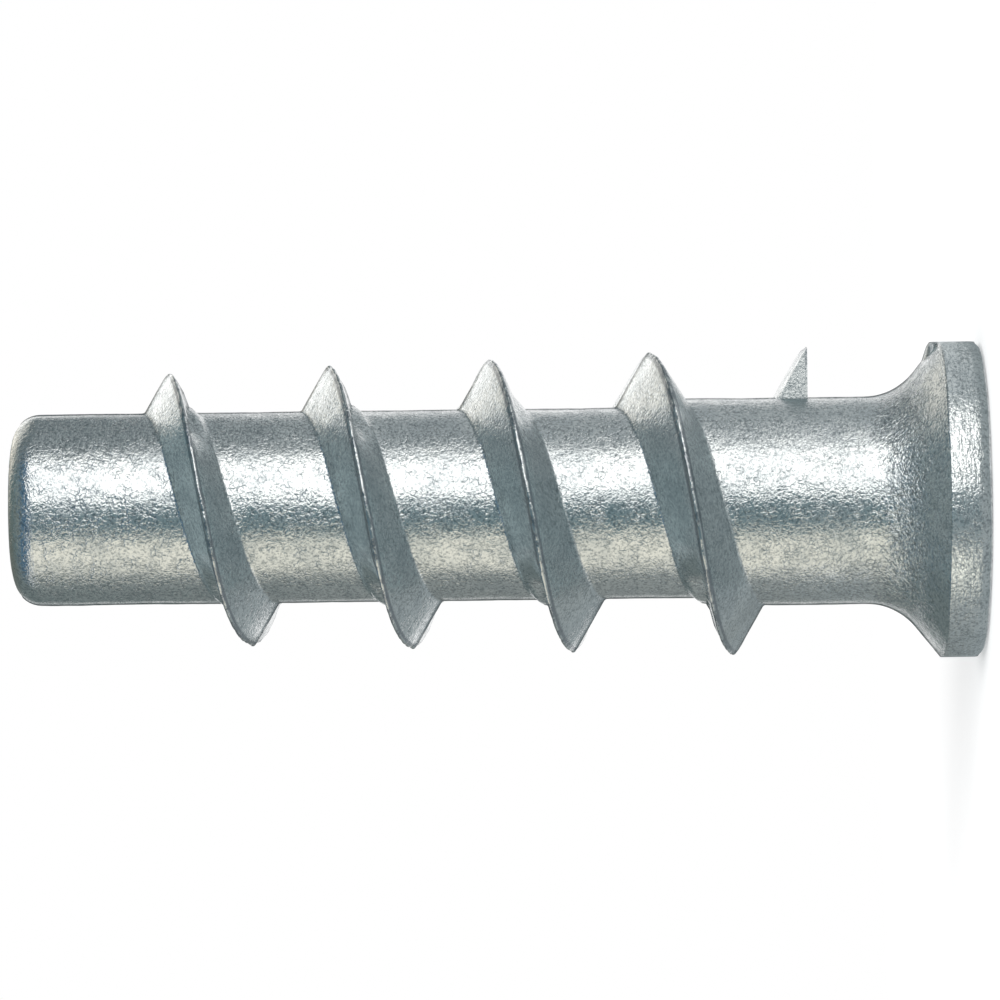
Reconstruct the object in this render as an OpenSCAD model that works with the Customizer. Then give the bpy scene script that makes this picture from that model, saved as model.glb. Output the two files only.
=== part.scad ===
// Screw-in anchor for aerated concrete, with a metric internal thread.
// One zinc die casting: a flared disc head, a shank with a coarse right-hand thread outside,
// and a hexagon socket that leads into the bore of the internal thread.
// Millimetres. The head's face lies on z = 0 and the shank points up.
// The casting's parting plane is y = 0, and the thread ends in it, at angle 0.

/* [Shank] */
// Length over all, from the head's face to the end of the pilot
anchor_length = 60.4; // [52:0.2:90]
// Diameter of the shank between the turns of the thread
shank_d = 11.8; // [11:0.1:12.4]
// Diameter of the thicker neck under the head
neck_d = 12.8; // [12.6:0.1:15]
// Length of the plain pilot beyond the thread
pilot_length = 5.6; // [3.5:0.1:12]
// Rounding of the pilot's outer edge
pilot_round = 1.3; // [0.4:0.1:2]
// Angle between the axis and the bevel that leads from the shank up to the neck
neck_bevel = 35; // [30:1:60]

/* [Head] */
// Diameter of the head
head_d = 19.7; // [18:0.1:26]
// Height of the head's cylindrical rim
rim_height = 2.55; // [1.6:0.05:4]
// Rounding of the rim's edge at the face
face_round = 0.75; // [0.2:0.05:1]
// Rounding of the rim's edge at the flare
flare_edge_round = 0.25; // [0.1:0.05:0.5]
// Angle between the flare's cone and the axis
flare_angle = 51; // [40:1:60]
// Radius that blends the flare's cone into the neck
flare_blend = 4; // [1:0.1:4.5]
// Thickness of the gate's remnant, which stands on the flare in the parting plane
gate_thickness = 1.2; // [0.6:0.1:2]
// Height of the gate's remnant above the rim
gate_height = 0.6; // [0.3:0.1:1.2]

/* [Outer thread] */
// Rise of the thread in one turn
thread_pitch = 10; // [8:0.5:14]
// Plain length of neck between the flare and the square end of the thread
neck_gap = 3.5; // [2:0.1:8]
// Crest diameter at the head end of the thread
crest_d_head = 19.4; // [16:0.1:24]
// Crest diameter at the pilot end of the thread
crest_d_pilot = 16.6; // [14.5:0.1:22]
// Angle between the two flanks
flank_angle = 60; // [45:1:70]
// Flat left along the crest
crest_land = 0.24; // [0.1:0.02:0.6]
// Fillet where a flank meets the shank
root_fillet = 0.3; // [0.3:0.1:1.2]
// How far past the last crest the thread's end is trimmed square
end_trim = 0.15; // [0:0.05:0.8]
// Part of a turn over which the thread rises out of the shank at the pilot
fade_turns = 0.36; // [0.2:0.02:0.7]

/* [Socket and bore] */
// Minor diameter of the M8 internal thread, as the bore is cast
bore_d = 6.8; // [6.6:0.05:7]
// Width of the hexagon socket across its flats
socket_af = 8.1; // [7.6:0.1:9]
// Depth of the hexagon socket
socket_depth = 8; // [4:0.5:12]
// Chamfer at the mouths of the socket and the bore
mouth_chamfer = 0.5; // [0.2:0.1:1]

/* [Hidden] */
$fn = 96;
steps_per_turn = 48;
cut_over = 1;

shank_r = shank_d / 2;
neck_r = neck_d / 2;
head_r = head_d / 2;
bore_r = bore_d / 2;
socket_corner_r = socket_af / 2 / cos(30);
floor_mouth_r = min(bore_r + mouth_chamfer, socket_af / 2);

// The flare is a cone, tangent to an arc that runs out into the neck
flare_drop = flare_blend * (1 - cos(flare_angle));
flare_start = [
    neck_r + flare_drop,
    rim_height + (head_r - neck_r - flare_drop) / tan(flare_angle)
];
flare_top = flare_start.y + flare_blend * sin(flare_angle);
flare_edge_length = flare_edge_round * tan(flare_angle / 2);
gate_inset = 0.1;
gate_slope = 0.35;

// Height of the thread's crest above the face: end_crest plus one pitch a turn
trim_plane = flare_top + neck_gap;
end_crest = trim_plane - end_trim;
thread_start = anchor_length - pilot_length;
thread_turns = (thread_start - end_crest) / thread_pitch;
ring_count = ceil(thread_turns * steps_per_turn);

// Half of a root fillet's chord, and its height above the root
flank_tan = tan(flank_angle / 2);
fillet_chord = root_fillet * tan((90 - flank_angle / 2) / 2);
fillet_height = fillet_chord * cos(flank_angle / 2);
fillet_slope = (fillet_chord + fillet_height * flank_tan) / fillet_height;
root_depth = 0.8;
crest_depth = 0.4;

// The neck ends in a bevel, which leans so that it hides under the last turn across the front
neck_tilt = atan(thread_pitch / 4 / neck_r);
neck_middle = end_crest + thread_pitch * 3 / 4;
bevel_reach = anchor_length;

function clamp01(value) = max(0, min(1, value));

// Radius that the thread stands on: the shank's, or the neck's in the last half turn
function root_r(turn) = shank_r + (neck_r - shank_r) * clamp01(2 * (1 - turn));

// Radius of the crest, which dives into the shank where the thread fades out
function crest_r(turn) =
    let (
        full = (crest_d_head + (crest_d_pilot - crest_d_head) * turn / thread_turns) / 2,
        buried = shank_r - crest_depth,
        share = clamp01((thread_turns - turn) / fade_turns)
    )
    buried + (full - buried) * share;

// Section of the thread as [radius, height above the crest's middle], from the head side up
function thread_section(turn) =
    let (
        crest = crest_r(turn),
        toe = min(root_r(turn) + fillet_height, crest - crest_land),
        base = root_r(turn) - root_depth,
        crest_half = crest_land / 2,
        toe_half = crest_half + (crest - toe) * flank_tan,
        base_half = toe_half + (toe - base) * fillet_slope
    )
    [
        [base, -base_half],
        [toe, -toe_half],
        [crest, -crest_half],
        [crest, crest_half],
        [toe, toe_half],
        [base, base_half]
    ];

function on_helix(point, turn) = [
    point.x * cos(360 * turn),
    point.x * sin(360 * turn),
    point.y + end_crest + thread_pitch * turn
];

// The section's ends are closed in two convex faces: its foot in the shank, and its blade
module thread_sweep() {
    sides = 6;
    points = [
        for (ring = [0 : ring_count])
            let (turn = ring / ring_count * thread_turns)
            for (point = thread_section(turn)) on_helix(point, turn)
    ];
    walls = [
        for (ring = [0 : ring_count - 1], side = [0 : sides - 1])
            let (
                near = ring * sides,
                here = side,
                next = (side + 1) % sides
            )
            each [
                [near + here, near + next, near + sides + here],
                [near + next, near + sides + next, near + sides + here]
            ]
    ];
    foot_and_blade = [[0, 1, 4, 5], [1, 2, 3, 4]];
    first_cap = [for (face = foot_and_blade) [for (corner = [len(face) - 1 : -1 : 0]) face[corner]]];
    last_cap = [for (face = foot_and_blade) [for (corner = face) ring_count * sides + corner]];
    polyhedron(points, concat(first_cap, walls, last_cap));
}

// Coarse thread: its last flank is trimmed square above the neck
module outer_thread() {
    difference() {
        thread_sweep();
        cylinder(r = head_r + crest_d_head, h = trim_plane);
    }
}

// Half section of the head, with the neck on it, which the bevel then cuts
module head_profile() {
    difference() {
        polygon([
            [0, 0],
            [head_r, 0],
            [head_r, rim_height],
            flare_start,
            [neck_r, flare_top],
            [neck_r, thread_start],
            [0, thread_start]
        ]);
        translate([neck_r + flare_blend, flare_top]) circle(r = flare_blend);
        face_edge_waste();
        flare_edge_waste();
    }
}

module face_edge_waste() {
    difference() {
        translate([head_r - face_round, -face_round]) square(2 * face_round);
        translate([head_r - face_round, face_round]) circle(r = face_round);
    }
}

module flare_edge_waste() {
    difference() {
        polygon([
            [head_r, rim_height - flare_edge_length],
            [head_r + flare_edge_round, rim_height + flare_edge_round],
            [
                head_r - flare_edge_length * sin(flare_angle),
                rim_height + flare_edge_length * cos(flare_angle)
            ]
        ]);
        translate([head_r - flare_edge_round, rim_height - flare_edge_length])
            circle(r = flare_edge_round);
    }
}

module head() {
    difference() {
        rotate_extrude() head_profile();
        neck_bevel_waste();
    }
    gate_remnant();
}

// Where the gate was broken off: its outer edge lies just inside the rim, and its top slopes up
// to the flare
module gate_remnant() {
    outer_r = head_r - gate_inset;
    gate_top = rim_height + gate_height;
    rotate([90, 0, 0])
        linear_extrude(height = gate_thickness, center = true)
            polygon([
                [neck_r, rim_height / 2],
                [outer_r, rim_height / 2],
                [outer_r, gate_top],
                [neck_r, gate_top + (outer_r - neck_r) * gate_slope]
            ]);
}

// The bevel is a cone, tilted with the thread: this is what lies outside it
module neck_bevel_waste() {
    middle_r = (neck_r + shank_r) / 2 / sqrt(cos(neck_tilt));
    top_r = middle_r - shank_r / 2;
    difference() {
        translate([0, 0, flare_top]) cylinder(r = head_r, h = anchor_length - flare_top);
        translate([0, 0, neck_middle])
            rotate([0, -neck_tilt, 0])
                translate([0, 0, -bevel_reach])
                    cylinder(
                        r1 = middle_r + bevel_reach * tan(neck_bevel),
                        r2 = top_r,
                        h = bevel_reach + (middle_r - top_r) / tan(neck_bevel)
                    );
    }
}

// Shank, which begins inside the head and ends in the rounded pilot
module shank() {
    rotate_extrude()
        difference() {
            translate([0, rim_height]) square([shank_r, anchor_length - rim_height]);
            translate([shank_r - pilot_round, anchor_length - pilot_round])
                difference() {
                    square(2 * pilot_round);
                    circle(r = pilot_round);
                }
        }
}

// Hexagon socket in the face, and the bore from its floor through the pilot's end
module socket_and_bore() {
    mouth_r = socket_corner_r + mouth_chamfer;
    pilot_mouth_r = bore_r + mouth_chamfer;
    translate([0, 0, -cut_over])
        cylinder(r = socket_corner_r, h = socket_depth + cut_over, $fn = 6);
    translate([0, 0, -cut_over])
        cylinder(r1 = mouth_r + cut_over, r2 = bore_r, h = mouth_r + cut_over - bore_r);
    cylinder(r = bore_r, h = anchor_length + cut_over);
    translate([0, 0, socket_depth])
        cylinder(r1 = floor_mouth_r, r2 = bore_r, h = floor_mouth_r - bore_r);
    translate([0, 0, anchor_length - mouth_chamfer])
        cylinder(r1 = bore_r, r2 = pilot_mouth_r + cut_over, h = mouth_chamfer + cut_over);
}

module anchor() {
    color("silver")
        difference() {
            union() {
                head();
                shank();
                outer_thread();
            }
            socket_and_bore();
        }
}

anchor();
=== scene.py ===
import math

import bmesh
import bpy
import numpy as np
from mathutils import Matrix, Vector, noise


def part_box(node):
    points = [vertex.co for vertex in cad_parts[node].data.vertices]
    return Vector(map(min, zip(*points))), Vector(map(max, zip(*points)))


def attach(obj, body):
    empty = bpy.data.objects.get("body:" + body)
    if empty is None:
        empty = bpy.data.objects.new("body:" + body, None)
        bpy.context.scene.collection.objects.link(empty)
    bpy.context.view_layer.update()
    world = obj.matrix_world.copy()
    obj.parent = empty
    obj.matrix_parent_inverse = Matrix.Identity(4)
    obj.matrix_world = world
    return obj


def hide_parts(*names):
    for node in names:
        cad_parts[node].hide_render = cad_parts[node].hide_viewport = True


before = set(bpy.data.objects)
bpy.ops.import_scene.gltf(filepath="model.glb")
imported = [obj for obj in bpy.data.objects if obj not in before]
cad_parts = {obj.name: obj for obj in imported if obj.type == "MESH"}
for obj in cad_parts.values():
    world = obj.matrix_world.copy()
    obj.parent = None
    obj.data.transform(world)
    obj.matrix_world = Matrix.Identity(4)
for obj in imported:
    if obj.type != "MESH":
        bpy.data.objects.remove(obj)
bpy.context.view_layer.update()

# Screw-in anchor for aerated concrete, one zinc die casting that stands on its head.
# Its sizes are in millimetres and follow the CAD part. The mesh is scaled to metres last.
millimetre = 0.001
cadLow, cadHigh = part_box("anchor")
anchorLength = (cadHigh.z - cadLow.z) / millimetre
headRadius = (cadHigh.x - cadLow.x) / millimetre / 2

head = {
    "rimHeight": 2.55,
    "faceRound": 0.75,
    "edgeRound": 0.25,
    "flareAngle": math.radians(51),   # between the flare's cone and the axis
    "flareBlend": 4.0,
}
shank = {
    "radius": 5.9,
    "neckRadius": 6.4,
    "pilotLength": 5.6,
    "pilotRound": 1.65,
    "pilotSteps": 10,
    "bevelAngle": math.radians(35),
    "bevelRounds": 8,                 # rounds of the search for the leaning bevel
    "searchMargin": 1.0,
    "leastSquare": 0.01,              # of the distance from the leaning axis
}
thread = {
    "pitch": 10.0,
    "neckGap": 3.5,
    "endTrim": 0.15,
    "crestAtHead": 9.7,
    "crestAtPilot": 8.3,
    "flankAngle": math.radians(30),   # between a flank and the radius
    "land": 0.20,
    "crestRound": 0.05,
    "crestDepth": 0.1,                # no part of the land lies deeper
    "fillet": 0.3,
    "dive": 2.0,                      # how steeply the section goes under the shank
    "fadeTurns": 0.36,
    "buried": 0.4,
    "neckTurns": (0.40, 1.12),        # where the neck ends, on the tip's side and the head's
    "neckFade": 0.08,                 # turns over which it ends
    "lastTurn": 5.4,                  # the skin winds on to here, past the thread's end
    "relaxBefore": 0.05,              # turns over which the mesh rows even out before the thread
    "relaxAfter": 0.3,                # and after it
    "columns": 216,                   # mesh columns in one turn, a multiple of 12
    "landRows": 2,                    # mesh rows on each side of the crest's middle
    "flankRows": 8,
    "filletRows": 5,
    "baseRows": 10,
    "leastFlank": 1.3,                # in half lands
}

coneStart = shank["neckRadius"] + head["flareBlend"] * (1 - math.cos(head["flareAngle"]))
coneTop = head["rimHeight"] + (headRadius - coneStart) / math.tan(head["flareAngle"])
flareTop = coneTop + head["flareBlend"] * math.sin(head["flareAngle"])
trimPlane = flareTop + thread["neckGap"]
endCrest = trimPlane - thread["endTrim"]
pilotRoundStart = anchorLength - shank["pilotRound"]
threadTurns = (anchorLength - shank["pilotLength"] - endCrest) / thread["pitch"]
flankTan = math.tan(thread["flankAngle"])
filletReach = thread["fillet"] * flankTan


def clamp01(value):
    return np.clip(value, 0.0, 1.0)


# Radius of the plain casting that the thread stands on: neck, leaning bevel and shank
def baseRadius(angle, height):
    lean = math.atan(thread["pitch"] / 4 / shank["neckRadius"])
    middle = (shank["neckRadius"] + shank["radius"]) / 2 / math.sqrt(math.cos(lean))
    above = height - (endCrest + thread["pitch"] * 3 / 4)
    lowest, highest = shank["radius"] - shank["searchMargin"], shank["neckRadius"] + shank["searchMargin"]
    radius = np.full(np.shape(above), middle)
    for step in range(shank["bevelRounds"]):
        along = above * math.cos(lean) - radius * np.cos(angle) * math.sin(lean)
        across = np.sqrt(np.maximum(radius ** 2 + above ** 2 - along ** 2, shank["leastSquare"]))
        cone = middle - along * math.tan(shank["bevelAngle"])
        radius = np.clip(radius + cone - across, lowest, highest)
    return np.clip(radius, shank["radius"], shank["neckRadius"])


# What the thread stands on: the neck ends sooner on the side that faces the tip (side above 0)
def rootRadius(turn, side):
    lastNeck = np.where(np.asarray(side) > 0, thread["neckTurns"][0], thread["neckTurns"][1])
    share = clamp01((lastNeck - turn) / thread["neckFade"] + 0.5)
    return shank["radius"] + (shank["neckRadius"] - shank["radius"]) * share


# The crest gets lower towards the pilot, and dives into the shank where the thread fades out
def crestRadius(turn):
    full = thread["crestAtHead"] + (thread["crestAtPilot"] - thread["crestAtHead"]) * turn / threadTurns
    buried = shank["radius"] - thread["buried"]
    return buried + (full - buried) * clamp01((threadTurns - turn) / thread["fadeTurns"])


# Distance from the crest's middle at which the flank's line meets the root
def flankReach(turn, side):
    return thread["land"] / 2 + np.maximum(crestRadius(turn) - rootRadius(turn, side), 0) * flankTan


# Radius of the thread's section: a rounded crest, the flank, and the fillet at its root
def sectionRadius(turn, offset):
    crest = crestRadius(turn)
    fillet = thread["fillet"]
    beyond = np.abs(offset) - flankReach(turn, offset)
    curve = fillet - np.sqrt(np.maximum(fillet ** 2 - (filletReach - beyond) ** 2, 0))
    rise = np.where(beyond < filletReach, curve, (filletReach - beyond) * thread["dive"])
    rise = np.where(beyond < -filletReach / 2, -beyond / flankTan, rise)
    rounded = crest - thread["crestRound"] * (2 * offset / thread["land"]) ** 2
    top = np.where(beyond < 0, np.maximum(rounded, crest - thread["crestDepth"]), crest)
    return np.minimum(rootRadius(turn, offset) + rise, top)


# A die half can't reach behind the crest, so the flank there is hollowed near the parting plane
relief = {
    "slackBelow": 0.0,
    "slackAbove": (0.15, -0.08),      # at the head end, and its change a turn
    "full": math.radians(40),         # angles from the parting plane
    "none": math.radians(70),
    "planeSine": 1e-9,                # a column with a smaller sine stands in the plane itself
    "ramp": math.radians(5),
    "runOn": math.radians(24),
    "firstTurn": 1.4,                 # above, the hollow begins after this turn
    "gain": 0.65,
    "footReach": 0.3,
    "footHeight": 0.38,
    "footSlope": 0.53,
    "leastCosine": 0.1,
    "bow": 0.1,
    "bowFrom": 0.25,                  # the bow begins after this turn
    "leastHeight": 0.5,
}


# Angle from the nearer half of the parting plane, between -90 and 90 degrees
def fromPartingPlane(angle):
    return (angle + math.pi / 2) % math.pi - math.pi / 2


# How much of the relief a column has on the side that faces the tip (1) or the head (-1).
# The front's hollow runs on over the parting plane, and fades out behind it.
def reliefShare(angle, side):
    fromPlane = fromPartingPlane(angle) * side
    faded = clamp01((relief["none"] - np.abs(fromPlane)) / (relief["none"] - relief["full"]))
    if abs(math.sin(angle)) < relief["planeSine"]:
        return float(side * math.cos(angle) < 0)
    if math.sin(angle) < 0:
        return faded * (fromPlane >= 0)
    if fromPlane > 0:
        return faded * clamp01(fromPlane / relief["ramp"])
    return faded * clamp01(1 + fromPlane / relief["runOn"])


# The section's radius where the hollow lies in the shadow of the crest, above a low foot
def relievedRadius(turn, offset):
    section = sectionRadius(turn, offset)
    angle = 2 * math.pi * turn
    fromPlane = abs(fromPartingPlane(angle))
    above = math.cos(angle) > 0
    slack = relief["slackAbove"][0] + relief["slackAbove"][1] * turn if above else relief["slackBelow"]
    beyond = np.maximum(np.abs(offset) - thread["land"] / 2 - slack, 0)
    turned = np.minimum(fromPlane + beyond * 2 * math.pi / thread["pitch"], math.pi / 2)
    shadow = crestRadius(turn) * np.cos(turned) / max(math.cos(fromPlane), relief["leastCosine"])
    foot = relief["footSlope"] * (flankReach(turn, offset) + relief["footReach"] - np.abs(offset))
    floor = rootRadius(turn, offset) + np.clip(foot, 0, relief["footHeight"])
    share = np.where(offset > 0, reliefShare(angle, 1), reliefShare(angle, -1))
    if above:
        share = share * clamp01((turn - relief["firstTurn"]) * relief["gain"])
    hollow = np.minimum(section, np.maximum(shadow, floor))
    return section + np.where(np.abs(offset) > thread["land"] / 2, hollow - section, 0) * share


# The crest bows out a little where it comes round below
def crestBow(angle):
    below = math.sin(2 * angle) ** 2 * (math.cos(angle) < 0)
    return relief["bow"] * below * (1 if math.sin(angle) < 0 else -1)


def evenly(start, end, count):
    return np.linspace(start, end, count + 1)[1:]


# Where one column's rows lie across the crest, from the middle of one gap to the next
def rowOffsets(turn):
    land = thread["land"] / 2
    rows = {}
    for side in (-1, 1):
        reach = float(flankReach(turn, side))
        toe = reach + filletReach
        filletStart = max(reach - filletReach / 2, land * thread["leastFlank"])
        rows[side] = np.concatenate([
            evenly(0, land, thread["landRows"]),
            evenly(land, filletStart, thread["flankRows"]),
            evenly(filletStart, toe, thread["filletRows"]),
            evenly(toe, thread["pitch"] / 2, thread["baseRows"]),
        ])
    return np.concatenate([-rows[-1][::-1], [0], rows[1]])


# One column of the skin that winds up the shank. Its last turn is trimmed square above the neck.
def skinColumn(turn, hasThread):
    offsets = rowOffsets(turn)
    crestHeight = endCrest + thread["pitch"] * turn
    section = relievedRadius(turn, offsets)
    root = rootRadius(turn, offsets)
    raised = clamp01((section - root) / np.maximum(crestRadius(turn) - root, relief["leastHeight"]))
    plane = trimPlane - crestHeight
    toeRow = thread["baseRows"]
    if turn < 1 and plane > offsets[toeRow]:
        section = np.where(offsets < plane, np.minimum(section, sectionRadius(turn, plane)), section)
        below = np.linspace(-thread["pitch"] / 2, plane, toeRow + 1)[:-1]
        offsets = np.concatenate([below, np.maximum(offsets[toeRow:], plane)])
    relax = clamp01(max(-turn / thread["relaxBefore"], (turn - threadTurns) / thread["relaxAfter"]))
    even = np.linspace(-1, 1, len(offsets)) * thread["pitch"] / 2
    offsets = offsets * (1 - relax) + even * relax
    bow = crestBow(2 * math.pi * turn) * raised * (relief["bowFrom"] < turn < threadTurns)
    heights = np.clip(crestHeight + offsets + bow, flareTop, pilotRoundStart)
    base = baseRadius(2 * math.pi * turn, heights)
    return (np.maximum(section, base) if hasThread else base), heights


points, faces = [], []


# Adds columns of points, and the quads between each column and the next
def addSheet(angles, radii, heights, closed=False):
    start = len(points)
    columns, rows = radii.shape
    across = np.stack([radii * np.cos(angles)[:, None], radii * np.sin(angles)[:, None], heights], axis=2)
    points.extend(across.reshape(-1, 3).tolist())
    for column in range(columns if closed else columns - 1):
        near = start + column * rows
        far = start + (column + 1) % columns * rows
        for row in range(rows - 1):
            faces.append((near + row, far + row, far + row + 1, near + row + 1))
    return start


def columnAngles(first, last, count):
    return 2 * math.pi * (np.arange(first, last + 1) % count) / count


def addThreadSkin():
    count = thread["columns"]
    rows = len(rowOffsets(1))
    starts = []
    for first, last, hasThread in ((-count, 0, False), (0, round(thread["lastTurn"] * count), True)):
        made = [skinColumn(column / count, hasThread) for column in range(first, last + 1)]
        radii, heights = (np.array(part) for part in zip(*made))
        starts.append(addSheet(columnAngles(first, last, count), radii, heights))
    # The thread's square end is a flat face between the plain column and the first threaded one
    plain = starts[0] + count * rows
    ended = starts[1]
    lastTrimmed = int(np.sum(rowOffsets(0) < thread["endTrim"])) - 1
    corner = plain + lastTrimmed + 1
    fan = [plain + lastTrimmed] + [ended + row for row in range(thread["baseRows"], lastTrimmed + 2)]
    for here, following in zip(fan, fan[1:]):
        faces.append((corner, here, following))
    for row in range(lastTrimmed + 1, rows - 1):
        faces.append((plain + row, ended + row, ended + row + 1, plain + row + 1))


# Adds a turned surface; a profile's radius may differ from column to column
def addTurned(profile):
    angles = columnAngles(0, thread["columns"] - 1, thread["columns"])
    radii = np.stack([np.broadcast_to(radius, len(angles)) for radius, height in profile], axis=1)
    heights = np.stack([np.broadcast_to(height, len(angles)) for radius, height in profile], axis=1)
    addSheet(angles, radii, heights, closed=True)


def arc(centreRadius, centreHeight, radius, start, end, steps):
    turned = [math.radians(angle) for angle in np.linspace(start, end, steps + 1)]
    return [(centreRadius + radius * math.cos(a), centreHeight + radius * math.sin(a)) for a in turned]


def straight(start, end, steps):
    return [tuple(np.array(start) * (1 - share) + np.array(end) * share) for share in evenly(0, 1, steps)]


# What is left of the gate, in the parting plane on the +X side
gate = {
    "thickness": 1.2,
    "height": 0.6,
    "inset": 0.1,
    "slope": 0.35,
}
socket = {
    "apothem": 4.05,
    "depth": 8.0,
    "mouth": 0.5,
}
# Mesh rows in each part of the head's profile
headSteps = {
    "blend": 12,
    "cone": 10,
    "edge": 5,
    "rim": 8,
    "faceRound": 6,
    "face": 12,
    "mouth": 2,
    "socket": 6,
}


# Radius of the gate's remnant, in the columns next to the parting plane
def gateRadius(angles, height):
    outer = headRadius - gate["inset"]
    above = height - head["rimHeight"] - gate["height"]
    beside = (np.abs(outer * np.sin(angles)) < gate["thickness"] / 2) & (np.cos(angles) > 0)
    return np.where(beside, outer - max(above, 0) / gate["slope"], 0)


def addHead():
    blend, edgeRound, faceRound = head["flareBlend"], head["edgeRound"], head["faceRound"]
    flareDegrees = math.degrees(head["flareAngle"])
    edgeHeight = head["rimHeight"] - edgeRound * math.tan(head["flareAngle"] / 2)
    flare = arc(shank["neckRadius"] + blend, flareTop, blend, 180, 180 + flareDegrees, headSteps["blend"])
    edge = arc(headRadius - edgeRound, edgeHeight, edgeRound, flareDegrees, 0, headSteps["edge"])
    face = arc(headRadius - faceRound, faceRound, faceRound, 0, -90, headSteps["faceRound"])
    angles = columnAngles(0, thread["columns"] - 1, thread["columns"])
    slope = flare + straight(flare[-1], edge[0], headSteps["cone"]) + edge[1:]
    profile = [(np.maximum(radius, gateRadius(angles, height)), height) for radius, height in slope]
    profile += straight(edge[-1], face[0], headSteps["rim"]) + face[1:]
    sixth = math.pi / 3
    hexagon = socket["apothem"] / np.cos(angles % sixth - sixth / 2)
    mouth = socket["apothem"] / math.cos(sixth / 2) + socket["mouth"]
    profile += straight(face[-1], (mouth, 0), headSteps["face"])
    for share in evenly(0, 1, headSteps["mouth"]):
        profile.append((mouth + (hexagon - mouth) * share, (mouth - hexagon) * share))
    for share in evenly(0, 1, headSteps["socket"]):
        profile.append((hexagon, mouth - hexagon + (socket["depth"] - mouth + hexagon) * share))
    addTurned(profile)


def addPilot():
    pilotRound = shank["pilotRound"]
    addTurned(arc(shank["radius"] - pilotRound, pilotRoundStart, pilotRound, 0, 90, shank["pilotSteps"]))


bore = {
    "radius": 3.4,
    "rootRadius": 4.0,
    "pitch": 1.25,
    "rootFlat": 1 / 16,               # half the flat at the root, in pitches
    "mouth": 0.5,
    "columns": 60,
}


# Metric thread of the bore, with a chamfer at each end
def boreRadius(angle, height):
    depth = bore["rootRadius"] - bore["radius"]
    phase = height / bore["pitch"] - angle / (2 * math.pi)
    fromRoot = np.abs(phase - np.round(phase)) * bore["pitch"]
    climb = clamp01((fromRoot - bore["pitch"] * bore["rootFlat"]) / flankTan / depth)
    fromEnd = np.minimum(height - socket["depth"], anchorLength - height)
    return np.maximum(bore["rootRadius"] - climb * depth, bore["radius"] + bore["mouth"] - fromEnd)


def addBoreThread():
    count, pitch = bore["columns"], bore["pitch"]
    flat = pitch * bore["rootFlat"]
    grooveHalf = flat + (bore["rootRadius"] - bore["radius"]) * flankTan
    rows = np.array([-pitch / 2, -grooveHalf, -flat, flat, grooveHalf, pitch / 2])
    first = math.floor(socket["depth"] / pitch - 1) * count
    last = math.ceil(anchorLength / pitch + 1) * count
    columns = np.arange(first, last + 1)
    angles = columnAngles(first, last, count)
    heights = np.clip(columns[:, None] / count * pitch + rows, socket["depth"], anchorLength)
    addSheet(angles, boreRadius(angles[:, None], heights), heights)


weld = {
    "distance": 0.0005,
    "tolerance": 0.01,
    "sharpAngle": math.radians(38),
}
boreReach = bore["rootRadius"] + weld["tolerance"]


# Joins the two round edges that lie at one height with a flat face
def closeGap(mesh, height):
    rims = [edge for edge in mesh.edges if edge.is_boundary
            and all(abs(corner.co.z - height) < weld["tolerance"] for corner in edge.verts)]
    bmesh.ops.triangle_fill(mesh, edges=rims, use_beauty=True)


# How far the masks for the material reach
crestMask = {
    "depth": 0.3,
    "ramp": 0.22,
    "endTurns": 0.1,
}
smoothMask = {
    "flankRamp": 0.25,
    "coneShare": 0.6,
    "coneLead": 0.4,
    "coneRamp": 1.5,
}
coarseMask = {
    "ramp": 0.3,
    "outer": 8.6,
    "outerRamp": 0.6,
    "aboveFlare": 0.3,
}
brokenMask = {
    "margin": 0.1,
    "facing": 0.5,
    "nearPlane": 0.15,
    "aboveCone": 0.15,
}


# How near a place on the casting is to the outer thread's crest, from 0 to 1
def crestNearness(angle, radius, height):
    share = angle / (2 * math.pi)
    turn = share + np.round((height - endCrest) / thread["pitch"] - share)
    near = clamp01((radius - crestRadius(turn) + crestMask["depth"]) / crestMask["ramp"])
    return near * (turn >= 0) * (turn < threadTurns - crestMask["endTurns"]) * (height > flareTop)


# Where the die leaves the skin smoother: the thread's flanks and the flare's cone
def smoothness(radius, height):
    flank = clamp01((radius - shank["neckRadius"]) / smoothMask["flankRamp"]) * (height > flareTop)
    cone = clamp01((radius - coneStart + smoothMask["coneLead"]) / smoothMask["coneRamp"])
    onCone = (height < flareTop) * (height > head["rimHeight"])
    return np.maximum(flank, smoothMask["coneShare"] * cone * onCone)


# Where the skin is coarser: the arc between the neck and the flare's cone
def coarseness(radius, height):
    inner = clamp01((radius - shank["neckRadius"]) / coarseMask["ramp"])
    outer = clamp01((coarseMask["outer"] - radius) / coarseMask["outerRamp"])
    return inner * outer * (height < flareTop + coarseMask["aboveFlare"]) * (height > head["rimHeight"])


# Where metal was broken or cut off: the thread's square end and the gate's remnant
def isBroken(face):
    x, y, z = face.calc_center_median()
    if x < shank["neckRadius"] or abs(y) > gate["thickness"] / 2 + brokenMask["margin"]:
        return False
    if z > flareTop:
        return abs(face.normal.y) > brokenMask["facing"] and abs(y) < brokenMask["nearPlane"]
    coneRadius = coneStart + (coneTop - z) * math.tan(head["flareAngle"])
    return z > head["rimHeight"] and math.hypot(x, y) > coneRadius + brokenMask["aboveCone"]


castSkin = {
    "waves": ((0.22, 0.035), (0.9, 0.014), (2.6, 0.007)),   # cycles a millimetre, height
    "nickDepth": 0.09,
    "nickLevel": 0.3,
    "nicks": (1.7, 1.2),              # cycles a millimetre, share
    "fineNicks": (4.5, 0.3),
    "nickStart": (5, 9, 2),
    "ridgeHeight": 0.08,
    "ridgeWidth": 0.14,
    "seamWidth": 0.16,
    "seamCore": 1.5,
    "seamFacing": 0.5,                # the seam stays off faces that lie in the parting plane
    "seamFromSocket": 1.2,
    "seamFromFace": 0.3,
}


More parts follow.
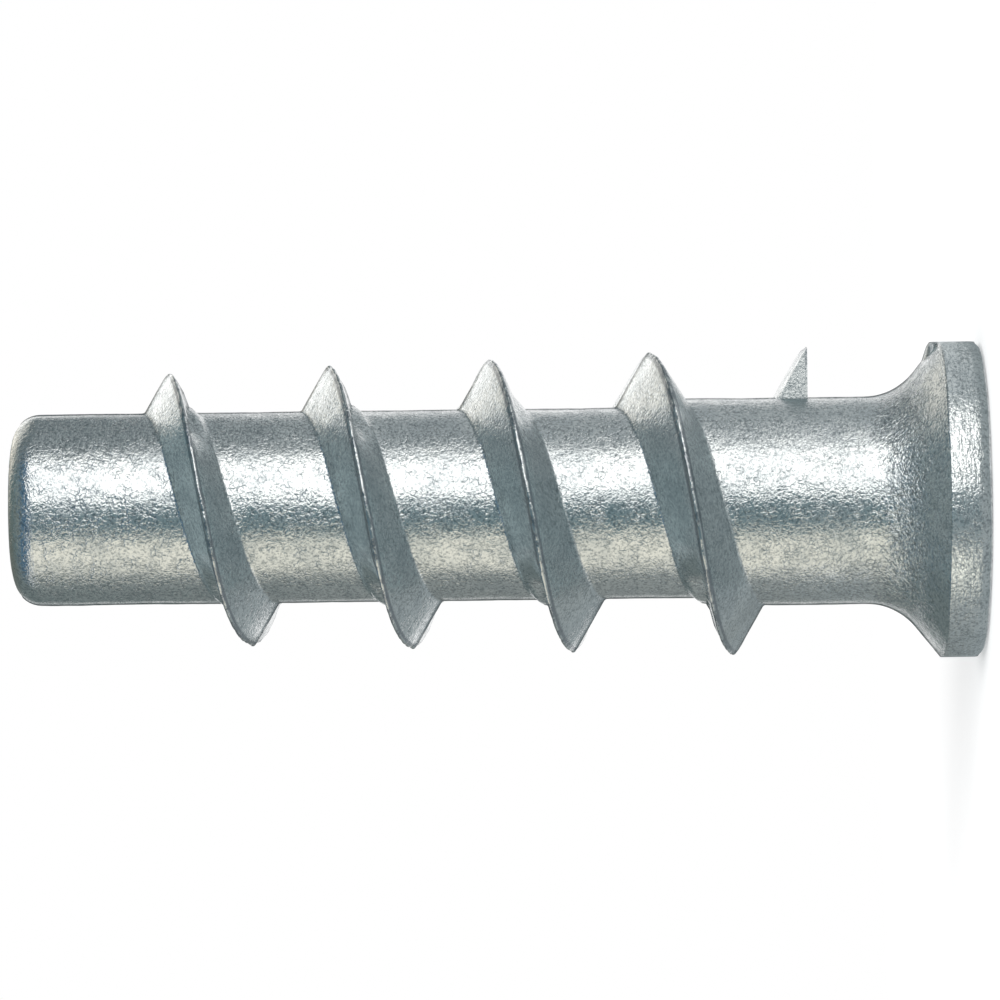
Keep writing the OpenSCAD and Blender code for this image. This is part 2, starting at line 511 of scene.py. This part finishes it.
def noiseAt(places, frequency, start=(0, 0, 0)):
    return np.array([noise.noise(Vector(place) * frequency + Vector(start)) for place in places])


def hasSeam(radius, normals, heights):
    besidePlane = np.abs(normals[:, 1]) < castSkin["seamFacing"]
    outside = radius > socket["apothem"] + castSkin["seamFromSocket"]
    return besidePlane * outside * (heights > castSkin["seamFromFace"])


# Moves the skin in and out a little, as a die leaves it: waves, a nicked crest, a parting line.
# Gives the masks for the material.
def roughenSkin(mesh):
    places = np.array([corner.co for corner in mesh.verts])
    normals = np.array([corner.normal for corner in mesh.verts])
    radius = np.hypot(places[:, 0], places[:, 1])
    outside = radius > boreReach
    shift = np.zeros(len(places))
    for frequency, amount in castSkin["waves"]:
        shift += amount * noiseAt(places, frequency)
    ridge = castSkin["ridgeHeight"] * np.exp(-(places[:, 1] / castSkin["ridgeWidth"]) ** 2)
    shift += ridge * hasSeam(radius, normals, places[:, 2])
    angle = np.arctan2(places[:, 1], places[:, 0]) % (2 * math.pi)
    crest = crestNearness(angle, radius, places[:, 2])
    nicks = castSkin["nicks"][1] * noiseAt(places, castSkin["nicks"][0], castSkin["nickStart"])
    fineNicks = castSkin["fineNicks"][1] * noiseAt(places, castSkin["fineNicks"][0])
    drop = castSkin["nickDepth"] * crest * clamp01(castSkin["nickLevel"] + nicks + fineNicks)
    places += normals * (shift * outside)[:, None]
    places[:, :2] *= (1 - drop / radius)[:, None]
    moved = np.hypot(places[:, 0], places[:, 1])
    places[:, :2] *= np.minimum(1, headRadius / moved)[:, None]
    places[:, 1] = np.clip(places[:, 1], cadLow.y / millimetre, cadHigh.y / millimetre)
    places[:, 2] = np.clip(places[:, 2], 0, anchorLength)
    for corner, place in zip(mesh.verts, places):
        corner.co = place
    # This mask only darkens the colour: painted shade along the parting line, where the outline lies; the
    # ridge above is real geometry
    seam = clamp01(castSkin["seamCore"] - np.abs(places[:, 1]) / castSkin["seamWidth"])
    return {
        "crest": crest,
        "smooth": smoothness(radius, places[:, 2]),
        "seam": seam * hasSeam(radius, normals, places[:, 2]),
        "coarse": coarseness(radius, places[:, 2]),
    }


print("anchor: skin, head, pilot and bore")
addThreadSkin()
addHead()
addPilot()
addBoreThread()
anchorMesh = bpy.data.meshes.new("anchorSkin")
anchorMesh.from_pydata(points, [], faces)
build = bmesh.new()
build.from_mesh(anchorMesh)
bmesh.ops.remove_doubles(build, verts=build.verts, dist=weld["distance"])
closeGap(build, anchorLength)
closeGap(build, socket["depth"])
bmesh.ops.recalc_face_normals(build, faces=build.faces)
build.normal_update()
masks = roughenSkin(build)
brokenFaces = [float(isBroken(face)) for face in build.faces]
for face in build.faces:
    inBore = all(math.hypot(*corner.co.xy) < boreReach for corner in face.verts)
    face.material_index = 1 if inBore else 0
openEdges = sum(1 for edge in build.edges if len(edge.link_faces) != 2)
triangles = sum(len(face.verts) - 2 for face in build.faces)
print("  triangles", triangles, "open edges", openEdges, "cubic mm", round(build.calc_volume(), 1))
bmesh.ops.scale(build, vec=(millimetre,) * 3, verts=build.verts)
build.to_mesh(anchorMesh)
build.free()
for maskName, maskValues in masks.items():
    anchorMesh.attributes.new(maskName, "FLOAT", "POINT").data.foreach_set("value", maskValues)
anchorMesh.attributes.new("broken", "FLOAT", "FACE").data.foreach_set("value", brokenFaces)
anchorMesh.shade_smooth()
anchorMesh.set_sharp_from_angle(angle=weld["sharpAngle"])
anchor = bpy.data.objects.new("anchorCasting", anchorMesh)
bpy.context.collection.objects.link(anchor)
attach(anchor, "root")
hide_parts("anchor")


# Shader building, with node names as Blender shows them
def addNode(tree, kind, inputs=(), **settings):
    node = tree.nodes.new("ShaderNode" + kind)
    for name, value in settings.items():
        setattr(node, name, value)
    for name, value in dict(inputs).items():
        if isinstance(value, bpy.types.NodeSocket):
            tree.links.new(value, node.inputs[name])
        else:
            node.inputs[name].default_value = value
    return node


def newGroup(name, inputs, outputs):
    tree = bpy.data.node_groups.new(name, "ShaderNodeTree")
    for socketName, value in inputs.items():
        made = tree.interface.new_socket(name=socketName, in_out="INPUT", socket_type="NodeSocketFloat")
        made.default_value = value
    for socketName in outputs:
        tree.interface.new_socket(name=socketName, in_out="OUTPUT", socket_type="NodeSocketFloat")
    return tree, tree.nodes.new("NodeGroupInput"), tree.nodes.new("NodeGroupOutput")


def placeInMillimetres(tree, stretch=(1, 1, 1)):
    place = addNode(tree, "TexCoord").outputs["Object"]
    factor = tuple(share / millimetre for share in stretch)
    return addNode(tree, "VectorMath", {0: place, 1: factor}, operation="MULTIPLY").outputs[0]


def math2(tree, operation, first, second, clamp=False):
    return addNode(tree, "Math", {0: first, 1: second}, operation=operation, use_clamp=clamp).outputs[0]


def noiseFrom(tree, place, scale, detail, more=()):
    return addNode(tree, "TexNoise", {"Vector": place, "Scale": scale, "Detail": detail, **dict(more)})


# Goes from 0 at one value to 1 at the other
def ramp(tree, value, ends):
    return addNode(tree, "MapRange", {"Value": value, "From Min": ends[0], "From Max": ends[1]}).outputs[0]


# Turns a mask into a value between two others
def between(tree, mask, ends):
    return addNode(tree, "MapRange", {"Value": mask, "To Min": ends[0], "To Max": ends[1]}).outputs[0]


def mixColours(tree, factor, first, second):
    mixed = addNode(tree, "Mix", {0: factor}, data_type="RGBA")
    for slot, colour in ((6, first), (7, second)):   # the node's two colour sockets
        if isinstance(colour, bpy.types.NodeSocket):
            tree.links.new(colour, mixed.inputs[slot])
        else:
            mixed.inputs[slot].default_value = (*colour, 1)
    return mixed.outputs[2]


def maskFrom(tree, name):
    return addNode(tree, "Attribute", attribute_name=name, attribute_type="GEOMETRY").outputs["Fac"]


# One less a share of a mask
def lessBy(tree, mask, share):
    return math2(tree, "ADD", math2(tree, "MULTIPLY", mask, -share), 1.0)


# Scales are in cycles a millimetre, and pairs are the ends of a ramp from 0 to 1
castGrain = {
    "grain": 4.5,
    "grainDetail": 2.0,
    "grainShape": {"Roughness": 0.6, "Distortion": 0.4},
    "pits": (0.52, 0.36),
    "lumps": 1.5,
    "lumpDetail": 2.0,
    "lumpHeight": 0.8,
    "patch": 0.45,
    "patchDetail": 3.0,
    "patchShape": {"Roughness": 0.65},
    "patches": (0.42, 0.62),
    "cells": 2.8,
    "wander": 2.2,
    "wanderDetail": 2.0,
    "wanderReach": (0.5, 0.5, 0.5),
    "line": (0.15, 0.01),
    "lineSpread": 1.3,
    "lineDetail": 3.0,
    "lineWhere": (0.42, 0.62),
}


# Grain of a die casting: fine pits, lumps, and patches where the skin is rougher
def castGrainGroup():
    inputs = {"Grain": castGrain["grain"], "Patch": castGrain["patch"], "Cells": castGrain["cells"]}
    tree, given, made = newGroup("castGrain", inputs, ("Height", "Pits", "Patches", "Cracks"))
    place = placeInMillimetres(tree)
    # Fine broken lines, like the skin between frozen drops
    wander = noiseFrom(tree, place, castGrain["wander"], castGrain["wanderDetail"]).outputs["Color"]
    wandered = addNode(tree, "VectorMath", {0: wander, 1: castGrain["wanderReach"], 2: place},
                       operation="MULTIPLY_ADD").outputs[0]
    cells = addNode(tree, "TexVoronoi", {"Vector": wandered, "Scale": given.outputs["Cells"]},
                    feature="DISTANCE_TO_EDGE").outputs["Distance"]
    where = noiseFrom(tree, place, castGrain["lineSpread"], castGrain["lineDetail"]).outputs["Fac"]
    line = ramp(tree, cells, castGrain["line"])
    cracks = math2(tree, "MULTIPLY", line, ramp(tree, where, castGrain["lineWhere"]))
    grain = noiseFrom(tree, place, given.outputs["Grain"], castGrain["grainDetail"],
                      castGrain["grainShape"]).outputs["Fac"]
    lumps = noiseFrom(tree, place, castGrain["lumps"], castGrain["lumpDetail"]).outputs["Fac"]
    patches = noiseFrom(tree, place, given.outputs["Patch"], castGrain["patchDetail"],
                        castGrain["patchShape"]).outputs["Fac"]
    height = math2(tree, "ADD", grain, math2(tree, "MULTIPLY", lumps, castGrain["lumpHeight"]))
    tree.links.new(height, made.inputs["Height"])
    tree.links.new(ramp(tree, grain, castGrain["pits"]), made.inputs["Pits"])
    tree.links.new(ramp(tree, patches, castGrain["patches"]), made.inputs["Patches"])
    tree.links.new(cracks, made.inputs["Cracks"])
    return tree


edgeWearAndShade = {
    "spacing": 1.6,
    "detail": 3.0,
    "onEdge": (0.85, 0.98),           # of the crest mask
    # beside: where the painted shade on the flanks just beside the crest ramps in, of the crest mask
    "beside": (0.15, 0.5),
    "bare": (0.45, 0.55),             # of the noise
    "shadeShare": 0.75,
}


# Bright worn marks on the crest's edge, and painted shade on the flanks just beside it
def edgeWearAndShadeGroup():
    inputs = {"Edge": 0.0, "Spacing": edgeWearAndShade["spacing"]}
    tree, given, made = newGroup("edgeWearAndShade", inputs, ("Bright", "PaintedShade"))
    place = placeInMillimetres(tree)
    marks = noiseFrom(tree, place, given.outputs["Spacing"], edgeWearAndShade["detail"]).outputs["Fac"]
    onEdge = ramp(tree, given.outputs["Edge"], edgeWearAndShade["onEdge"])
    beside = ramp(tree, given.outputs["Edge"], edgeWearAndShade["beside"])
    bright = math2(tree, "MULTIPLY", ramp(tree, marks, edgeWearAndShade["bare"]), onEdge)
    # Painted shade in a band on the flanks just beside the crest, kept off the worn marks
    besideShade = math2(tree, "SUBTRACT", beside, bright, True)
    tree.links.new(bright, made.inputs["Bright"])
    tree.links.new(math2(tree, "MULTIPLY", besideShade, edgeWearAndShade["shadeShare"]), made.inputs["PaintedShade"])
    return tree


grainGroup = castGrainGroup()
wearAndShadeGroup = edgeWearAndShadeGroup()


def newMaterial(name):
    material = bpy.data.materials.new(name)
    material.use_nodes = True
    tree = material.node_tree
    return material, tree, tree.nodes["Principled BSDF"]


zinc = {
    "bright": (0.88, 0.90, 0.90),
    "dull": (0.76, 0.79, 0.80),
    "pit": (0.28, 0.32, 0.34),
    "pitShare": 0.62,
    "smoothPits": 0.2,                # how much less pitted the smooth skin is
    "crackShare": 0.35,
    "crackDepth": 0.42,
    "broken": (0.72, 0.74, 0.74),
    "brokenRoughness": 0.42,
    "wornEdge": (0.70, 0.72, 0.72),
    # Colour of the painted shade on the flanks just beside the crest
    "shadeBesideEdge": (0.30, 0.32, 0.35),
    # Near black on the parting line: the ridge is real, its dark colour is painted shade along the outline
    "seam": (0.10, 0.11, 0.12),
    "seamShadeShare": 0.85,
    "stain": (0.66, 0.63, 0.55),
    "stainHeights": (59.7, 60.2),     # round the pilot's end
    "grain": 5.5,
    "patch": 0.45,
    "streaks": (0.9, 0.9, 4.2),       # round the rim, in cycles a millimetre
    "streakDetail": 3.0,
    "streakHeights": (2.7, 2.5),
    "streakDepth": 1.2,
    "smoothShare": 0.3,               # how much flatter the grain is on the smooth skin
    "smoothRoughness": 0.3,
    "coarseGain": 1.5,
    "bumpDistance": 0.000036,
    "bumpStrength": 1.0,
    "roughness": (0.15, 0.26),
}


def zincColour(tree, grain, smooth, broken, height):
    colour = mixColours(tree, grain.outputs["Patches"], zinc["bright"], zinc["dull"])
    colour = mixColours(tree, broken, colour, zinc["broken"])
    pitShare = math2(tree, "MULTIPLY", grain.outputs["Pits"], zinc["pitShare"])
    pitShare = math2(tree, "MULTIPLY", pitShare, lessBy(tree, smooth, zinc["smoothPits"]))
    colour = mixColours(tree, pitShare, colour, zinc["pit"])
    crackShare = math2(tree, "MULTIPLY", grain.outputs["Cracks"], zinc["crackShare"])
    colour = mixColours(tree, crackShare, colour, zinc["pit"])
    colour = mixColours(tree, ramp(tree, height, zinc["stainHeights"]), colour, zinc["stain"])
    # Painted shade: the parting line is darkened nearly to black
    seamShadeShare = math2(tree, "MULTIPLY", maskFrom(tree, "seam"), zinc["seamShadeShare"])
    colour = mixColours(tree, seamShadeShare, colour, zinc["seam"])
    wearAndShade = addNode(tree, "Group", node_tree=wearAndShadeGroup)
    tree.links.new(maskFrom(tree, "crest"), wearAndShade.inputs["Edge"])
    # Painted shade on the flanks just beside the crest, then the worn marks on the crest
    colour = mixColours(tree, wearAndShade.outputs["PaintedShade"], colour, zinc["shadeBesideEdge"])
    return mixColours(tree, wearAndShade.outputs["Bright"], colour, zinc["wornEdge"])


def zincRoughness(tree, grain, smooth, broken):
    rough = between(tree, grain.outputs["Patches"], zinc["roughness"])
    rough = math2(tree, "MULTIPLY", rough, lessBy(tree, smooth, zinc["smoothRoughness"]))
    return math2(tree, "MAXIMUM", rough, math2(tree, "MULTIPLY", broken, zinc["brokenRoughness"]))


def zincBump(tree, grain, smooth, height):
    place = placeInMillimetres(tree, zinc["streaks"])
    streaks = noiseFrom(tree, place, 1.0, zinc["streakDetail"]).outputs["Fac"]
    onRim = ramp(tree, height, zinc["streakHeights"])
    streaks = math2(tree, "MULTIPLY", streaks, math2(tree, "MULTIPLY", onRim, zinc["streakDepth"]))
    cracks = math2(tree, "MULTIPLY", grain.outputs["Cracks"], -zinc["crackDepth"])
    raised = math2(tree, "ADD", grain.outputs["Height"], cracks)
    raised = math2(tree, "MULTIPLY", raised, lessBy(tree, smooth, zinc["smoothShare"]))
    raised = math2(tree, "MULTIPLY", raised, lessBy(tree, maskFrom(tree, "coarse"), -zinc["coarseGain"]))
    return addNode(tree, "Bump", {"Height": math2(tree, "ADD", raised, streaks),
                                  "Distance": zinc["bumpDistance"], "Strength": zinc["bumpStrength"]})


def castZincMaterial():
    material, tree, surface = newMaterial("castZinc")
    surface.inputs["Metallic"].default_value = 1.0
    grain = addNode(tree, "Group", {"Grain": zinc["grain"], "Patch": zinc["patch"]}, node_tree=grainGroup)
    smooth, broken = maskFrom(tree, "smooth"), maskFrom(tree, "broken")
    height = addNode(tree, "SeparateXYZ", {0: placeInMillimetres(tree)}).outputs["Z"]
    tree.links.new(zincColour(tree, grain, smooth, broken, height), surface.inputs["Base Color"])
    tree.links.new(zincRoughness(tree, grain, smooth, broken), surface.inputs["Roughness"])
    tree.links.new(zincBump(tree, grain, smooth, height).outputs["Normal"], surface.inputs["Normal"])
    return material


boreZinc = {
    "bright": (0.66, 0.68, 0.69),
    "dull": (0.42, 0.45, 0.47),
    "grain": 6.0,
    "roughness": (0.28, 0.40),
}


def boreZincMaterial():
    material, tree, surface = newMaterial("boreZinc")
    surface.inputs["Metallic"].default_value = 1.0
    grain = addNode(tree, "Group", {"Grain": boreZinc["grain"]}, node_tree=grainGroup)
    colour = mixColours(tree, grain.outputs["Pits"], boreZinc["bright"], boreZinc["dull"])
    rough = between(tree, grain.outputs["Patches"], boreZinc["roughness"])
    tree.links.new(colour, surface.inputs["Base Color"])
    tree.links.new(rough, surface.inputs["Roughness"])
    return material


print("materials")
anchorMesh.materials.append(castZincMaterial())
anchorMesh.materials.append(boreZincMaterial())

# The studio: reflecting cards round the casting, which only its metal sees. Sizes are in metres.
# Azimuths are in degrees from the camera's side towards +X, elevations above the horizon.
cards = {
    "centreHeight": 0.030,
    "distance": 0.30,
    "degreesAStep": 4,
    "leastSteps": 4,
    "rows": 9,
    "turnedSteps": 12,
    "wideSteps": 36,
    "laterFrom": 20,                  # cards from this elevation up have another colour later
    "firstDepth": 1.5,                # a reflection's ray depth is above this from the second on
}
cardColour = {
    "softbox": (1.6, 1.6, 1.57),
    "frontGap": (0.15, 0.215, 0.235),
    "warmPanel": (0.83, 0.81, 0.71),
    "upperSide": (0.16, 0.195, 0.205),
    "lowerSide": (0.16, 0.195, 0.195),
    "deepBlue": (0.08, 0.155, 0.23),
    "frontTop": (0.19, 0.225, 0.215),
    "overhead": (0.145, 0.21, 0.23),
    "underneath": (0.305, 0.345, 0.355),
    "later": (0.33, 0.405, 0.42),     # what the front shows to a ray's second reflection
}
skyCards = (
    ((62, 146), (-20, 7.5), (0.37, 0.405, 0.415)),
    ((62, 160), (7.5, 20), cardColour["upperSide"]),
    ((-163, -80), (-20, 7.5), (0.26, 0.285, 0.28)),
    ((-163, -80), (7.5, 20), cardColour["lowerSide"]),
    ((-100, 72), (28, 58), cardColour["deepBlue"]),
    ((72, 131), (20, 58), cardColour["upperSide"]),
    ((-179, -100), (20, 58), cardColour["lowerSide"]),
    ((131, 159), (20, 58), (0.72, 0.71, 0.66)),
    ((159, 172), (10, 48), (1.45, 1.45, 1.42)),
    ((159, 181), (48, 58), cardColour["overhead"]),
    ((172, 188), (6, 43), (0.22, 0.25, 0.25)),
    ((-100, 72), (58, 90), cardColour["frontTop"]),
    ((72, 260), (58, 90), cardColour["overhead"]),
)
# The bands in front stand nearer, so that they end at the pilot's rounding and on the flare
frontWall = {"radius": 0.085, "skirt": 0.045, "low": 0.0002, "high": 0.087}
frontWalls = (
    ((9.5, 61.5), cardColour["softbox"]),
    ((-34, 9.5), cardColour["frontGap"]),
    ((-82, -34), cardColour["warmPanel"]),
)
# Low cards close round the head, which its rim shows
rimWall = {"radius": 0.020, "low": 0.0003, "high": 0.0045}
rimCards = (
    ((7, 51), (2.0, 1.99, 1.94)),
    ((-22, 7), (0.19, 0.255, 0.275)),
    ((-32, -22), (0.50, 0.52, 0.50)),
    ((-50, -32), (1.15, 1.14, 1.02)),
    ((-60, -50), (0.50, 0.52, 0.49)),
    ((-84, -60), (0.34, 0.37, 0.37)),
    ((51, 160), (0.60, 0.64, 0.65)),
    ((-160, -84), (0.25, 0.28, 0.28)),
)
# Level cards on the table, from the head outwards
tableCard = {
    "inner": 0.0095,
    "front": 0.045,
    "middle": 0.075,
    "back": 0.112,
    "height": 0.0001,
    "farHeight": 0.0003,
    "frontAzimuths": (-90, 90),
}
tableCards = (
    ("Left", (90, 155), "back"),
    ("Back", (155, 205), "middle"),
    ("Right", (205, 270), "back"),
)


def onSphere(azimuth, elevation, distance):
    azimuth, elevation = math.radians(azimuth), math.radians(elevation)
    across = distance * math.cos(elevation)
    return (across * math.sin(azimuth), -across * math.cos(azimuth),
            cards["centreHeight"] + distance * math.sin(elevation))


# With no first colour, a ray's first reflection goes through
def glow(name, colour, laterColour):
    material = bpy.data.materials.new(name)
    material.use_nodes = True
    tree = material.node_tree
    tree.nodes.remove(tree.nodes["Principled BSDF"])
    rayDepth = addNode(tree, "LightPath").outputs["Ray Depth"]
    isLater = math2(tree, "GREATER_THAN", rayDepth, cards["firstDepth"])
    if colour:
        both = mixColours(tree, isLater, colour, laterColour)
        shown = addNode(tree, "Emission", {"Color": both}).outputs[0]
    else:
        clear = addNode(tree, "BsdfTransparent").outputs[0]
        later = addNode(tree, "Emission", {"Color": (*laterColour, 1)}).outputs[0]
        shown = addNode(tree, "MixShader", {0: isLater, 1: clear, 2: later}).outputs[0]
    tree.links.new(shown, tree.nodes["Material Output"].inputs["Surface"])
    return material


def stageObject(name, corners, sides, material):
    mesh = bpy.data.meshes.new(name)
    mesh.from_pydata(corners, [], sides)
    mesh.materials.append(material)
    made = bpy.data.objects.new(name, mesh)
    bpy.context.collection.objects.link(made)
    return made


# A card is a patch of a turned surface: each column is a list of points at one azimuth
def addCard(name, columns, colour, laterColour=None):
    rows = len(columns[0])
    corners = [corner for column in columns for corner in column]
    sides = [(place, place + 1, place + 1 + rows, place + rows)
             for place in range(len(corners) - rows) if (place + 1) % rows]
    made = stageObject(name, corners, sides, glow(name, colour, laterColour or colour))
    made.visible_camera = made.visible_diffuse = made.visible_shadow = False


# A turned card's columns from its profile of radius and height, with azimuths as for the sky
def turnedColumns(azimuths, profile, steps=cards["turnedSteps"]):
    turned = [math.radians(azimuth) for azimuth in np.linspace(*azimuths, steps + 1)]
    return [[(radius * math.sin(a), -radius * math.cos(a), height) for radius, height in profile]
            for a in turned]


def addSkyCards():
    for number, (azimuths, elevations, colour) in enumerate(skyCards):
        steps = max(cards["leastSteps"], round((azimuths[1] - azimuths[0]) / cards["degreesAStep"]))
        heights = np.linspace(*elevations, cards["rows"])
        columns = [[onSphere(azimuth, elevation, cards["distance"]) for elevation in heights]
                   for azimuth in np.linspace(*azimuths, steps + 1)]
        later = cardColour["later"] if elevations[0] >= cards["laterFrom"] else None
        addCard("skyCard%d" % number, columns, colour, later)


def addNearCards():
    wall = [(frontWall["skirt"], frontWall["low"]), (frontWall["radius"], frontWall["low"]),
            (frontWall["radius"], frontWall["high"])]
    for number, (azimuths, colour) in enumerate(frontWalls):
        addCard("frontWall%d" % number, turnedColumns(azimuths, wall), colour, cardColour["later"])
    rim = [(rimWall["radius"], rimWall["low"]), (rimWall["radius"], rimWall["high"])]
    for number, (azimuths, colour) in enumerate(rimCards):
        addCard("rimCard%d" % number, turnedColumns(azimuths, rim), colour, cardColour["later"])


def addTableCards():
    inner, level, farLevel = tableCard["inner"], tableCard["height"], tableCard["farHeight"]
    wide, steps = tableCard["frontAzimuths"], cards["wideSteps"]
    front = [(inner, level), (tableCard["front"], level)]
    far = [(tableCard["front"], farLevel), (tableCard["back"], farLevel)]
    addCard("tableCardFront", turnedColumns(wide, front, steps), cardColour["underneath"])
    for name, azimuths, reach in tableCards:
        columns = turnedColumns(azimuths, [(inner, level), (tableCard[reach], level)])
        addCard("tableCard" + name, columns, cardColour["underneath"])
    addCard("tableCardFar", turnedColumns(wide, far, steps), None, cardColour["underneath"])


floorLook = {
    "radius": 0.11,
    "sides": 96,
    "colour": (0.88, 0.88, 0.88),
    "roughness": 0.9,
    "topUp": 0.25,                    # glow that only camera rays and reflections see
}


# Rays that see the white background: those of the camera, and of metal and glass
def seenRays(tree):
    rays = addNode(tree, "LightPath").outputs
    seen = math2(tree, "MAXIMUM", rays["Is Camera Ray"], rays["Is Glossy Ray"])
    return math2(tree, "MAXIMUM", seen, rays["Is Transmission Ray"])


def addFloor():
    material, tree, surface = newMaterial("paleFloor")
    surface.inputs["Base Color"].default_value = (*floorLook["colour"], 1)
    surface.inputs["Roughness"].default_value = floorLook["roughness"]
    surface.inputs["Emission Color"].default_value = (1, 1, 1, 1)
    topUp = math2(tree, "MULTIPLY", seenRays(tree), floorLook["topUp"])
    tree.links.new(topUp, surface.inputs["Emission Strength"])
    radius, sides = floorLook["radius"], floorLook["sides"]
    angles = np.linspace(0, 2 * math.pi, sides + 1)[:-1]
    rim = [(radius * math.cos(a), radius * math.sin(a), 0) for a in angles]
    stageObject("floor", rim, [tuple(range(sides))], material)


light = {
    "diffuse": 0.75,
    "lampPower": 1.2,
    "lampSize": 0.30,
    "lampPlace": (0.16, -0.30, 0.42),
}


def addWorld():
    world = bpy.data.worlds.new("studio")
    bpy.context.scene.world = world
    world.use_nodes = True
    tree = world.node_tree
    tree.nodes.clear()
    level = light["diffuse"]
    plain = addNode(tree, "Background", {"Color": (level, level, level, 1), "Strength": 1.0})
    white = addNode(tree, "Background", {"Color": (1, 1, 1, 1), "Strength": 1.0})
    mixed = addNode(tree, "MixShader", {0: seenRays(tree), 1: plain.outputs[0], 2: white.outputs[0]})
    output = addNode(tree, "OutputWorld")
    tree.links.new(mixed.outputs[0], output.inputs["Surface"])


def addLamp():
    lamp = bpy.data.lights.new("softLamp", "AREA")
    lamp.energy = light["lampPower"]
    lamp.size = light["lampSize"]
    made = bpy.data.objects.new("softLamp", lamp)
    bpy.context.collection.objects.link(made)
    made.location = light["lampPlace"]
    toCasting = Vector((0, 0, cards["centreHeight"])) - made.location
    made.rotation_euler = toCasting.to_track_quat("-Z", "Y").to_euler()
    made.visible_camera = made.visible_glossy = False


# The photo's frame is 1000 pixels wide and shows 16 of them to a millimetre at the axis.
# Its camera lies on its side, so the pilot points left, with the axis rising a little to the right.
view = {
    "place": (0.0, -0.3375, 0.02634),
    "aim": (0.0003, 0.0, 0.03004),
    "pixelsPerMillimetre": 16.0,
    "framePixels": 1000,
    "roll": math.radians(0.70),
    "sensorWidth": 36,
    "clipStart": 0.01,
}


def addCamera():
    lens = bpy.data.cameras.new("view")
    distance = -view["place"][1] / millimetre
    lens.sensor_width = view["sensorWidth"]
    lens.lens = view["pixelsPerMillimetre"] * distance / view["framePixels"] * view["sensorWidth"]
    lens.clip_start = view["clipStart"]
    camera = bpy.data.objects.new("view", lens)
    bpy.context.collection.objects.link(camera)
    place, aim = Vector(view["place"]), Vector(view["aim"])
    back = (place - aim).normalized()
    right = Vector((-math.sin(view["roll"]), 0, -math.cos(view["roll"])))
    right = (right - back * right.dot(back)).normalized()
    up = back.cross(right)
    camera.matrix_world = Matrix.Translation(place) @ Matrix((right, up, back)).transposed().to_4x4()
    bpy.context.scene.camera = camera


print("studio and camera")
addSkyCards()
addNearCards()
addTableCards()
addWorld()
addFloor()
addLamp()
addCamera()
bpy.context.scene.view_settings.view_transform = "Standard"
